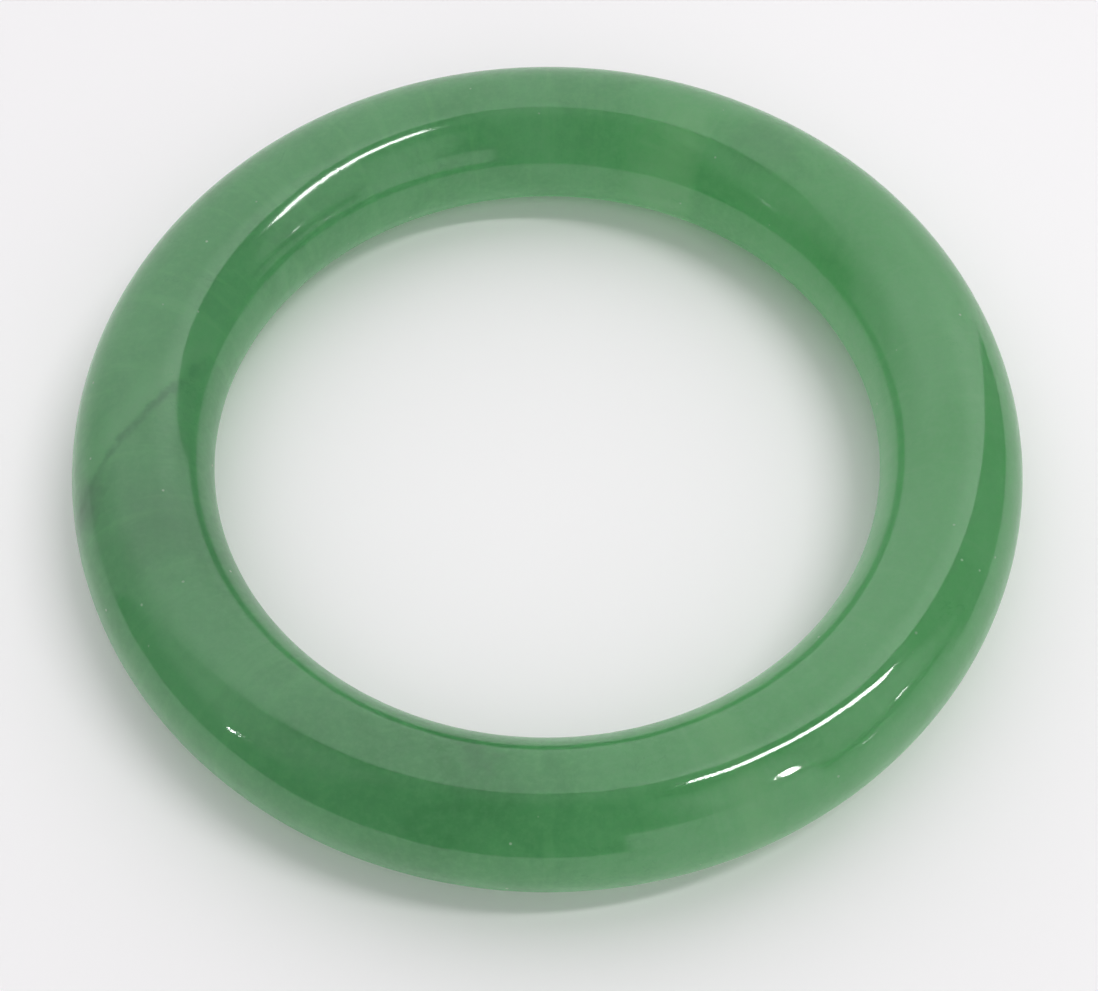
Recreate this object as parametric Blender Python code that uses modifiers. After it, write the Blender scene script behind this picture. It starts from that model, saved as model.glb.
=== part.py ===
"""Bangle bracelet: one closed ring of round bar, cut and polished from a single piece of green stone.

The ring lies flat. +Z is the ring's own axis, the origin is on that axis in the plane the ring rests on,
and the wrist passes through along Z. Metres.
"""

import math

import bmesh
import bpy

# Driving dimensions
INNER_DIAMETER = 0.0565  # clear hole that the hand passes through
BAR_DIAMETER = 0.0119  # thickness of the round bar that forms the ring
SECTION_SIDES = 40  # flats around the bar; a multiple of 4 puts one of them level at the top and at the bottom
RING_STEPS = 96  # stations around the ring

BAR_RADIUS = BAR_DIAMETER / 2
CENTRE_RADIUS = INNER_DIAMETER / 2 + BAR_RADIUS  # ring's axis to the middle of the bar

STONE_COLOUR = (0.115, 0.325, 0.145, 1.0)


def clear_scene():
    for obj in list(bpy.data.objects):
        bpy.data.objects.remove(obj, do_unlink=True)


def bar_outline():
    """Corners of the bar's section as (radius, height): from the top, down the outer side and back up the inner one.

    The flats touch the bar's circle from outside, so the bar's width and height are exactly BAR_DIAMETER.
    """
    corner_radius = BAR_RADIUS / math.cos(math.pi / SECTION_SIDES)
    for i in range(SECTION_SIDES):
        angle = math.pi / 2 - (i + 0.5) * 2 * math.pi / SECTION_SIDES
        yield (
            CENTRE_RADIUS + corner_radius * math.cos(angle),
            BAR_RADIUS + corner_radius * math.sin(angle),
        )


def stone_material():
    material = bpy.data.materials.new("polished_green_stone")
    material.use_nodes = True
    shader = material.node_tree.nodes["Principled BSDF"]
    shader.inputs["Base Color"].default_value = STONE_COLOUR
    shader.inputs["Roughness"].default_value = 0.08
    shader.inputs["Metallic"].default_value = 0.0
    shader.inputs["IOR"].default_value = 1.65
    shader.inputs["Subsurface Weight"].default_value = 0.6
    shader.inputs["Subsurface Radius"].default_value = (0.4, 1.0, 0.5)
    shader.inputs["Subsurface Scale"].default_value = 0.003
    material.diffuse_color = STONE_COLOUR
    return material


def make_bangle(collection):
    outline = bmesh.new()
    corners = [outline.verts.new((radius, 0.0, height)) for radius, height in bar_outline()]
    for first, second in zip(corners, corners[1:] + corners[:1]):
        outline.edges.new((first, second))
    mesh = bpy.data.meshes.new("bangle")
    outline.to_mesh(mesh)
    outline.free()

    bangle = bpy.data.objects.new("bangle", mesh)
    collection.objects.link(bangle)

    turn = bangle.modifiers.new("turn", "SCREW")
    turn.axis = "Z"
    turn.angle = 2 * math.pi
    turn.steps = RING_STEPS
    turn.render_steps = RING_STEPS
    turn.use_merge_vertices = True
    turn.merge_threshold = 0.00001
    turn.use_smooth_shade = True

    mesh.materials.append(stone_material())
    return bangle


def main():
    clear_scene()
    collection = bpy.data.collections.new("bangle_bracelet")
    bpy.context.scene.collection.children.link(collection)
    make_bangle(collection)


main()
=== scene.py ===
"""Looks of the bangle bracelet: a finely turned, hand-polished ring of translucent green stone on a white table."""

import math

import bpy
import numpy as np
from mathutils import Matrix, Vector


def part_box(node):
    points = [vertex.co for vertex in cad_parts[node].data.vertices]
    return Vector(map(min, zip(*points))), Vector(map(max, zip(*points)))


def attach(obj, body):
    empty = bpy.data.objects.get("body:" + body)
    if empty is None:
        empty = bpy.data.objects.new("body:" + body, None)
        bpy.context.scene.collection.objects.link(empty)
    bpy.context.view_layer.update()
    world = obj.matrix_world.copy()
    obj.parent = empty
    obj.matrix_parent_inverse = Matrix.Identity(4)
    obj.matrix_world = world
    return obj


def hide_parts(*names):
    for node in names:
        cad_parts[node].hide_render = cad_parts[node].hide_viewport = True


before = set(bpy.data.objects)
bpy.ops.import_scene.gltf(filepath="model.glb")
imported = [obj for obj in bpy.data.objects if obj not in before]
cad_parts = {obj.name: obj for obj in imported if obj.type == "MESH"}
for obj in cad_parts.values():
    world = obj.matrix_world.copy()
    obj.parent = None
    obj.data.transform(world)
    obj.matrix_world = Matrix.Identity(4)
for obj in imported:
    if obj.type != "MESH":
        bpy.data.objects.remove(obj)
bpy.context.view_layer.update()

LOW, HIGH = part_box("bangle")
BAR_R = (HIGH.z - LOW.z) / 2  # radius of the round bar
RING_R = (HIGH.x - LOW.x) / 2 - BAR_R  # ring's axis to the middle of the bar
MID_Z = LOW.z + BAR_R

# ---------------------------------------------------------------- ring mesh

AROUND = 576  # stations around the ring
SECTION = 96  # points around the bar
LOW_SPOTS = 0.00003  # deepest the hand polishing goes below the true round, metres


def smooth_waves(rng, count, low_k, high_k, low_m, high_m):
    """A seamless, random, gently rolling function of the ring angle and the section angle, from 0 to 1."""
    terms = [
        (
            rng.integers(low_k, high_k + 1),
            rng.integers(low_m, high_m + 1) * rng.choice((-1, 1)),
            rng.uniform(0, 2 * math.pi),
            rng.uniform(0.4, 1.0),
        )
        for _ in range(count)
    ]

    def at(phi, psi):
        total = sum(w * np.sin(k * phi + m * psi + p) for k, m, p, w in terms)
        return 0.5 + 0.5 * total / sum(w for *_, w in terms)

    return at


def ring_mesh():
    rng = np.random.default_rng(7)
    broad = smooth_waves(rng, 7, 2, 9, 0, 2)
    fine = smooth_waves(rng, 14, 14, 46, 0, 3)
    phi = np.arange(AROUND) * 2 * math.pi / AROUND
    psi = np.arange(SECTION) * 2 * math.pi / SECTION
    P, S = np.meshgrid(phi, psi, indexing="ij")
    rho = BAR_R - LOW_SPOTS * (0.7 * broad(P, S) + 0.3 * fine(P, S))
    r = RING_R + rho * np.cos(S)
    points = np.stack([r * np.cos(P), r * np.sin(P), MID_Z + rho * np.sin(S)], axis=-1)
    i = np.arange(AROUND)[:, None]
    j = np.arange(SECTION)[None, :]
    i2, j2 = (i + 1) % AROUND, (j + 1) % SECTION
    quads = np.stack(
        np.broadcast_arrays(i * SECTION + j, i2 * SECTION + j, i2 * SECTION + j2, i * SECTION + j2), axis=-1
    )
    mesh = bpy.data.meshes.new("polished_ring")
    mesh.from_pydata(points.reshape(-1, 3).tolist(), [], quads.reshape(-1, 4).tolist())
    mesh.validate()
    mesh.shade_smooth()
    mesh.update()
    return mesh


ring = bpy.data.objects.new("polished_ring", ring_mesh())
bpy.context.scene.collection.objects.link(ring)


# ---------------------------------------------------------------- node helpers

class Tree:
    """Short names for building a node tree."""

    def __init__(self, tree):
        self.tree = tree
        tree.nodes.clear()

    def add(self, kind, **props):
        node = self.tree.nodes.new(kind)
        for name, value in props.items():
            setattr(node, name, value)
        return node

    def feed(self, socket, value):
        if isinstance(value, bpy.types.NodeSocket):
            self.tree.links.new(value, socket)
        elif value is not None:
            socket.default_value = value

    def maths(self, operation, a, b=None, c=None, clamp=False):
        node = self.add("ShaderNodeMath", operation=operation, use_clamp=clamp)
        for socket, value in zip(node.inputs, (a, b, c)):
            self.feed(socket, value)
        return node.outputs[0]

    def vector(self, operation, a, b=None, scale=None):
        node = self.add("ShaderNodeVectorMath", operation=operation)
        self.feed(node.inputs[0], a)
        if b is not None:
            self.feed(node.inputs[1], b)
        if scale is not None:
            self.feed(node.inputs["Scale"], scale)
        return node.outputs["Value" if operation in ("LENGTH", "DISTANCE", "DOT_PRODUCT") else "Vector"]

    def noise(self, vector, scale, detail=2.0, rough=0.5, distortion=0.0, output="Fac"):
        node = self.add("ShaderNodeTexNoise")
        self.feed(node.inputs["Vector"], vector)
        self.feed(node.inputs["Scale"], scale)
        self.feed(node.inputs["Detail"], detail)
        self.feed(node.inputs["Roughness"], rough)
        self.feed(node.inputs["Distortion"], distortion)
        return node.outputs[output]

    def between(self, value, low, high, out_low=0.0, out_high=1.0):
        """Smooth step of value from low to high."""
        node = self.add("ShaderNodeMapRange", interpolation_type="SMOOTHSTEP", clamp=True)
        self.feed(node.inputs["Value"], value)
        for name, v in (("From Min", low), ("From Max", high), ("To Min", out_low), ("To Max", out_high)):
            self.feed(node.inputs[name], v)
        return node.outputs["Result"]

    def mix(self, factor, a, b, blend="MIX"):
        node = self.add("ShaderNodeMix", data_type="RGBA", blend_type=blend)
        self.feed(node.inputs[0], factor)
        self.feed(node.inputs[6], a)
        self.feed(node.inputs[7], b)
        return node.outputs[2]


# ---------------------------------------------------------------- stone

def stone_material():
    """Mottled green stone: a cloudy body, a healed fissure with smoky ends, two paler seams, hairlines, specks and polishing marks. All of it is laid out in the ring's own space, in millimetres."""
    material = bpy.data.materials.new("green_stone")
    material.use_nodes = True
    t = Tree(material.node_tree)
    place = t.add("ShaderNodeTexCoord").outputs["Object"]
    mm = t.vector("SCALE", place, scale=1000.0)
    parts = t.add("ShaderNodeSeparateXYZ")
    t.feed(parts.inputs[0], place)
    flat = t.add("ShaderNodeCombineXYZ")
    t.feed(flat.inputs[0], parts.outputs[0])
    t.feed(flat.inputs[1], parts.outputs[1])
    # -1 on the bore, 0 on the crown, 1 on the outside
    outward = t.maths("DIVIDE", t.maths("SUBTRACT", t.vector("LENGTH", flat.outputs[0]), RING_R), BAR_R)

    clouds = t.noise(mm, 0.055, 3.0, 0.55, 0.5)
    wisps = t.noise(mm, 0.22, 4.0, 0.6, 1.2)
    grain = t.noise(mm, 1.6, 3.0, 0.6)
    wander = t.vector("SUBTRACT", t.noise(mm, 0.35, 3.0, 0.55, output="Color"), (0.5, 0.5, 0.5))
    bent = t.vector("ADD", mm, t.vector("SCALE", wander, scale=1.6))
    frayed = t.vector("ADD", mm, t.vector("SCALE", wander, scale=7.0))

    def times(*factors):
        product = factors[0]
        for factor in factors[1:]:
            product = t.maths("MULTIPLY", product, factor)
        return product

    def blob(centre, inner, outer):
        return t.between(t.vector("DISTANCE", frayed, centre), inner, outer, 1.0, 0.0)

    # cloudy body
    tone = t.maths("ADD", t.maths("MULTIPLY", clouds, 0.7), t.maths("MULTIPLY", wisps, 0.3))
    ramp = t.add("ShaderNodeValToRGB")
    t.feed(ramp.inputs["Fac"], tone)
    stops = ramp.color_ramp
    stops.elements[0].position = 0.30
    stops.elements[0].color = (0.034, 0.118, 0.048, 1)
    stops.elements[1].position = 0.72
    stops.elements[1].color = (0.091, 0.220, 0.109, 1)
    middle = stops.elements.new(0.5)
    middle.color = (0.059, 0.171, 0.075, 1)
    colour = t.mix(t.between(grain, 0.35, 0.75, 0.0, 0.13), ramp.outputs["Color"], (0.16, 0.34, 0.18, 1))
    colour = t.mix(t.between(t.noise(mm, 4.5, 2.0, 0.6), 0.45, 0.70, 0.0, 0.16), colour, (0.052, 0.160, 0.066, 1))
    # greyer at one side of the ring, greener at the other
    colour = t.mix(t.between(parts.outputs[0], -0.040, 0.015, 0.42, 0.0), colour, (0.072, 0.170, 0.092, 1))
    colour = t.mix(t.between(parts.outputs[0], 0.000, 0.040, 0.0, 0.40), colour, (0.098, 0.275, 0.112, 1))

    # pale fibres that run round the bar
    fibre_at = t.vector("ADD", t.vector("SCALE", t.vector("NORMALIZE", flat.outputs[0]), scale=RING_R * 1000), t.vector("SCALE", mm, scale=0.12))
    fibres = t.noise(fibre_at, 0.62, 3.0, 0.6)
    colour = t.mix(times(t.between(fibres, 0.50, 0.72, 0.0, 0.22), t.between(clouds, 0.40, 0.60)), colour, (0.125, 0.300, 0.135, 1))

    # seam through the bar, clearest on the bore, with one sharp edge
    along = t.vector("DOT_PRODUCT", bent, (-0.927, 0.375, 0.0))
    this_side = t.between(t.vector("DOT_PRODUCT", mm, (0.375, 0.927, 0.0)), 5.0, 15.0)
    depth = t.between(outward, -0.50, 0.45, 1.0, 0.08)
    seam = times(t.between(along, -3.6, -1.2), t.between(along, -0.4, 5.4, 1.0, 0.0), this_side, depth, t.between(wisps, 0.30, 0.62, 0.60, 1.0))
    colour = t.mix(times(seam, 0.42), colour, (0.150, 0.325, 0.145, 1))
    lee = times(t.between(along, -9.0, -4.4), t.between(along, -4.4, -1.6, 1.0, 0.0), this_side, depth)
    colour = t.mix(times(lee, 0.16), colour, (0.044, 0.150, 0.060, 1))
    # a second, fainter seam nearly opposite
    along = t.vector("DOT_PRODUCT", bent, (0.914, 0.407, 0.0))
    this_side = t.between(t.vector("DOT_PRODUCT", mm, (0.407, -0.914, 0.0)), 5.0, 15.0)
    seam = times(t.between(along, -2.6, -0.6), t.between(along, 0.2, 2.4, 1.0, 0.0), this_side)
    colour = t.mix(times(seam, 0.26), colour, (0.120, 0.280, 0.118, 1))

    # healed fissure: a flat plane across the bar, pale on one side
    off = t.maths("SUBTRACT", t.vector("DOT_PRODUCT", bent, (-0.831, 0.546, -0.106)), 26.05)
    reach = t.between(t.vector("DISTANCE", mm, (-34.2, -2.2, 10.7)), 8.5, 15.0, 1.0, 0.0)
    pale = times(t.between(off, 0.2, 0.9), t.between(off, 0.9, 3.2, 1.0, 0.0), reach)
    colour = t.mix(times(pale, 0.30), colour, (0.130, 0.270, 0.145, 1))
    # smoky patches at its two ends and a few fainter ones, and a broad, faint darker and greyer area over the top at
    # the back of the ring
    smoke = blob((-38.2, -9.0, 8.6), 0.8, 4.6)
    smoke = t.maths("MAXIMUM", smoke, times(blob((-31.0, -10.5, 11.5), 0.8, 6.8), 0.42))
    smoke = t.maths("MAXIMUM", smoke, times(blob((-5.7, -32.2, 11.7), 0.3, 2.6), 0.6))
    smoke = t.maths("MAXIMUM", smoke, times(blob((19.4, 27.8, 11.9), 1.0, 5.0), 0.35))
    # this last one is no smoky patch: it only darkens and greys the top at the back of the ring
    smoke = t.maths("MAXIMUM", smoke, times(blob((-2.0, 37.0, 10.5), 2.0, 15.0), 0.24))
    colour = t.mix(times(smoke, 0.80), colour, (0.050, 0.104, 0.064, 1))
    fissure = times(t.between(t.maths("ABSOLUTE", off), 0.02, 0.55, 1.0, 0.0), reach, t.between(t.noise(mm, 0.7, 3.0), 0.35, 0.62, 0.25, 1.0), t.between(outward, -0.85, -0.35, 0.25, 1.0))
    colour = t.mix(times(fissure, 0.68), colour, (0.042, 0.098, 0.055, 1))
    # hairlines
    crack = t.maths("ABSOLUTE", t.maths("SUBTRACT", t.noise(mm, 0.13, 5.0, 0.55, 1.4), 0.5))
    crack = times(t.between(crack, 0.000, 0.007, 1.0, 0.0), t.between(t.noise(mm, 0.09, 2.0), 0.52, 0.66))
    colour = t.mix(times(crack, 0.35), colour, (0.045, 0.125, 0.062, 1))
    # mineral specks
    cells = t.add("ShaderNodeTexVoronoi")
    t.feed(cells.inputs["Vector"], mm)
    t.feed(cells.inputs["Scale"], 0.36)
    speck = times(t.between(t.maths("ADD", cells.outputs["Distance"], times(t.noise(mm, 6.0, 1.0), 0.03)), 0.036, 0.066, 1.0, 0.0), t.between(t.noise(mm, 0.3, 1.0), 0.35, 0.60, 0.45, 1.0))
    colour = t.mix(times(speck, 0.88), colour, (0.42, 0.56, 0.41, 1))

    shader = t.add("ShaderNodeBsdfPrincipled")
    shader.subsurface_method = "RANDOM_WALK"
    t.feed(shader.inputs["Base Color"], colour)
    shader.inputs["IOR"].default_value = 1.6
    shader.inputs["Subsurface Weight"].default_value = 1.0
    shader.inputs["Subsurface Radius"].default_value = (0.6, 1.0, 0.65)
    shader.inputs["Subsurface Scale"].default_value = 0.03
    # the bore is polished less finely than the outside
    bore = t.between(outward, -0.75, -0.15, 1.0, 0.0)
    t.feed(shader.inputs["Roughness"], t.maths("ADD", t.between(wisps, 0.3, 0.7, 0.028, 0.055), t.maths("MULTIPLY", bore, 0.12)))
    # faint flats left by hand polishing, in some places only
    worked = t.between(t.noise(mm, 0.11, 2.0), 0.44, 0.60, 0.10, 1.0)
    relief = t.maths("SUBTRACT", times(t.noise(mm, 0.9, 3.0, 0.6), worked), times(speck, 0.6))
    bump = t.add("ShaderNodeBump")
    bump.inputs["Strength"].default_value = 1.0
    bump.inputs["Distance"].default_value = 0.000014
    t.feed(bump.inputs["Height"], relief)
    t.feed(shader.inputs["Normal"], bump.outputs["Normal"])
    # a coat of polish over it, because only about half of the mix below is polished
    shader.inputs["Coat Weight"].default_value = 0.8
    shader.inputs["Coat IOR"].default_value = 1.6
    shader.inputs["Coat Roughness"].default_value = 0.05
    t.feed(shader.inputs["Coat Normal"], bump.outputs["Normal"])
    # the light that crosses the bar. It passes the surface twice, so each pass tints by about the root of the colour
    root = t.add("ShaderNodeGamma")
    t.feed(root.inputs["Color"], colour)
    root.inputs["Gamma"].default_value = 0.65
    tint = t.mix(1.0, root.outputs[0], (2.92, 2.92, 2.92, 1), "MULTIPLY")
    through = t.add("ShaderNodeBsdfTranslucent")
    t.feed(through.inputs["Color"], t.vector("MINIMUM", tint, (1.0, 1.0, 1.0)))
    stone = t.add("ShaderNodeMixShader")
    stone.inputs[0].default_value = 0.45
    t.feed(stone.inputs[1], shader.outputs[0])
    t.feed(stone.inputs[2], through.outputs[0])
    out = t.add("ShaderNodeOutputMaterial")
    t.feed(out.inputs["Surface"], stone.outputs[0])
    return material


ring.data.materials.append(stone_material())
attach(ring, "root")
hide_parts("bangle")


# ---------------------------------------------------------------- stage: table

STAGE_R = 1.5


def disc(name, radius, z, sides=96):
    mesh = bpy.data.meshes.new(name)
    ring_points = [
        (radius * math.cos(2 * math.pi * k / sides), radius * math.sin(2 * math.pi * k / sides), z)
        for k in range(sides)
    ]
    mesh.from_pydata(ring_points, [], [tuple(range(sides))])
    obj = bpy.data.objects.new(name, mesh)
    bpy.context.scene.collection.objects.link(obj)
    return obj


table = disc("table_top", STAGE_R, LOW.z)
material = bpy.data.materials.new("white_table")
material.use_nodes = True
t = Tree(material.node_tree)
shader = t.add("ShaderNodeBsdfPrincipled")
shader.inputs["Base Color"].default_value = (0.93, 0.92, 0.922, 1)
shader.inputs["Roughness"].default_value = 0.6
t.feed(t.add("ShaderNodeOutputMaterial").inputs["Surface"], shader.outputs[0])
table.data.materials.append(material)


# ---------------------------------------------------------------- stage: light tent

def edge_of_light(x):
    """Where the tent's bright back panel ends, in the flat (stereographic) picture of the sky seen from the table: two straight hems."""
    return np.maximum(0.05, 0.05 + 1.2 * (x - 0.22))


def soft_step(value, low, high):
    s = np.clip((value - low) / (high - low), 0, 1)
    return s * s * (3 - 2 * s)


def soft_box(value, low, high, soft):
    return soft_step(value, low - soft / 2, low + soft / 2) * (1 - soft_step(value, high - soft / 2, high + soft / 2))


def tent_brightness(direction):
    """Radiance of the tent in each unit direction (rows): a bright back and top, and a dark camera side."""
    x = direction[:, 0] / (1 + direction[:, 2])
    y = direction[:, 1] / (1 + direction[:, 2])
    az = np.degrees(np.arctan2(direction[:, 0], direction[:, 1]))  # 0 straight behind the ring, 90 to its right
    el = np.degrees(np.arcsin(np.clip(direction[:, 2], -1, 1)))
    # camera side: dark, a little lighter overhead and to the left, with a pale wall low down at the right
    near = 0.10 + 0.30 * soft_step(el, 74, 89)
    near = near + 0.38 * soft_box(az, -128, -72, 24) * soft_box(el, 30, 72, 24)
    near = np.maximum(near, 0.95 * soft_box(az, 128, 166, 3) * soft_box(el, -5, 27, 8))
    near = np.maximum(near, 0.75 * soft_box(az, 92, 152, 14) * soft_box(el, 20, 62, 22))
    near = np.maximum(near, 0.60 * soft_box(az, 94, 132, 8) * soft_box(el, -5, 12, 5))
    # back panel: brightest high up at the right, fading to the left
    far = 0.98 + 0.22 * soft_step(el, 10, 50)
    far = far + 0.50 * soft_step(az, 15, 55) * soft_step(el, 12, 45)
    far = far * (1 - 0.50 * (1 - soft_step(az, -82, -42)) * (1 - 0.5 * soft_step(el, 30, 60)))
    lit = soft_step(y - edge_of_light(x), -0.009, 0.009)
    return near + (far - near) * lit


def tent():
    columns, rows, radius = 360, 120, STAGE_R
    az = np.arange(columns) * 2 * math.pi / columns
    el = np.arange(rows + 1) / (rows + 1) * math.pi / 2
    A, E = np.meshgrid(az, el, indexing="xy")
    d = np.stack([np.sin(A) * np.cos(E), np.cos(A) * np.cos(E), np.sin(E)], axis=-1).reshape(-1, 3)
    d = np.vstack([d, [[0, 0, 1]]])
    top = len(d) - 1
    faces = []
    for r in range(rows):
        for c in range(columns):
            c2 = (c + 1) % columns
            faces.append((r * columns + c, r * columns + c2, (r + 1) * columns + c2, (r + 1) * columns + c))
    for c in range(columns):
        faces.append((rows * columns + c, rows * columns + (c + 1) % columns, top))
    mesh = bpy.data.meshes.new("light_tent")
    mesh.from_pydata((d * radius + np.array([0, 0, LOW.z])).tolist(), [], faces)
    glow = mesh.attributes.new("glow", "FLOAT", "POINT")
    glow.data.foreach_set("value", tent_brightness(d).astype(np.float32))
    obj = bpy.data.objects.new("light_tent", mesh)
    bpy.context.scene.collection.objects.link(obj)
    material = bpy.data.materials.new("tent_cloth")
    material.use_nodes = True
    t = Tree(material.node_tree)
    attribute = t.add("ShaderNodeAttribute", attribute_name="glow")
    emission = t.add("ShaderNodeEmission")
    t.feed(emission.inputs["Strength"], attribute.outputs["Fac"])
    emission.inputs["Color"].default_value = (1.0, 0.985, 1.01, 1)
    t.feed(t.add("ShaderNodeOutputMaterial").inputs["Surface"], emission.outputs[0])
    mesh.materials.append(material)
    material.cycles.emission_sampling = "NONE"
    obj.visible_camera = False
    return obj


tent()


LAMP_DISTANCE = 1.3


def direction_of(az, el):
    az, el = math.radians(az), math.radians(el)
    return Vector((math.sin(az) * math.cos(el), math.cos(az) * math.cos(el), math.sin(el)))


def lamp(name, first, last, width, radiance, glossy=True):
    """A flat rectangular lamp facing the table. first and last are the azimuth and elevation of the ends of its middle line, and width is in degrees."""
    a, b = direction_of(*first) * LAMP_DISTANCE, direction_of(*last) * LAMP_DISTANCE
    middle = (a + b) / 2
    along = (b - a).normalized()
    facing = (middle - along * middle.dot(along)).normalized()
    across = facing.cross(along)
    light = bpy.data.lights.new(name, "AREA")
    light.shape = "RECTANGLE"
    light.size = (b - a).length
    light.size_y = math.radians(width) * LAMP_DISTANCE
    light.energy = radiance * math.pi * light.size * light.size_y
    obj = bpy.data.objects.new(name, light)
    obj.matrix_world = Matrix.Translation(middle) @ Matrix((along, across, facing)).transposed().to_4x4()
    obj.visible_camera = False
    obj.visible_glossy = glossy
    bpy.context.scene.collection.objects.link(obj)
    return obj


def spot_lamp(name, target, toward, width, height, radiance, beam, distance=0.15):
    """A small lamp close by, with a grid that keeps its light to one stretch of the ring. target is the ring angle that it is aimed at; width, height and beam are in degrees."""
    phi = math.radians(target)
    aim = Vector((RING_R * math.cos(phi), RING_R * math.sin(phi), MID_Z))
    facing = direction_of(*toward)
    light = bpy.data.lights.new(name, "AREA")
    light.shape = "RECTANGLE"
    light.size = math.radians(width) * distance
    light.size_y = math.radians(height) * distance
    light.energy = radiance * math.pi * light.size * light.size_y * math.sin(math.radians(beam / 2)) ** 2
    light.spread = math.radians(beam)
    across = Vector((0, 0, 1)).cross(facing).normalized()
    obj = bpy.data.objects.new(name, light)
    obj.matrix_world = Matrix.Translation(aim + facing * distance) @ Matrix((across, facing.cross(across), facing)).transposed().to_4x4()
    obj.visible_camera = False
    obj.visible_diffuse = False
    bpy.context.scene.collection.objects.link(obj)
    return obj


lamp("fill_lamp", (180, 22), (180, 65), 60, 1.0, glossy=False)
lamp("tube_lamp", (111.8, 76.8), (91.0, 51.7), 3.5, 24.0)
spot_lamp("square_lamp", -61.4, (130.5, 37.5), 3.0, 7.0, 30.0, 16)
lamp("far_lamp_right", (106, 22.5), (109, 22.5), 1.6, 14.0)
lamp("low_lamp_right", (117, 7.0), (120, 7.5), 1.2, 5.0)
lamp("far_lamp_left", (-117, 30), (-115.5, 24.5), 1.6, 3.0)
spot_lamp("small_lamp_left", -129.6, (-116.1, 26.0), 1.8, 2.8, 15.0, 16)

world = bpy.data.worlds.new("pale_room")
world.use_nodes = True
world.node_tree.nodes["Background"].inputs["Color"].default_value = (0.82, 0.82, 0.82, 1)
bpy.context.scene.world = world


# ---------------------------------------------------------------- camera

ELEVATION = math.radians(57.37)
ROLL = math.radians(-0.37)
DISTANCE = 5.7535 * RING_R
FOCAL_PX = 2312.0  # in a frame 1098 wide
CENTRE_PX = (547.1, 442.3)  # where the middle of the bar's ring lies in the 1098 x 991 frame

away = Vector((0, -math.cos(ELEVATION), math.sin(ELEVATION)))
right = Vector((1, 0, 0))
up = right.cross(-away)
base = Matrix((right, up, away)).transposed()
d = Vector(((CENTRE_PX[0] - 549.0) / FOCAL_PX, -(CENTRE_PX[1] - 495.5) / FOCAL_PX, -1.0)).normalized()
turn = d.rotation_difference(Vector((0, 0, -1))).to_matrix()
rotation = base @ Matrix.Rotation(ROLL, 3, "Z") @ turn
camera_data = bpy.data.cameras.new("camera")
camera_data.sensor_fit = "HORIZONTAL"
camera_data.sensor_width = 36.0
camera_data.lens = FOCAL_PX / 1098.0 * 36.0
camera_data.clip_start = 0.005
camera_data.clip_end = 20.0
camera = bpy.data.objects.new("camera", camera_data)
camera.matrix_world = Matrix.Translation(Vector((0, 0, MID_Z)) + away * DISTANCE) @ rotation.to_4x4()
bpy.context.scene.collection.objects.link(camera)
bpy.context.scene.camera = camera

bpy.context.scene.view_settings.view_transform = "Standard"
bpy.context.scene.view_settings.look = "None"
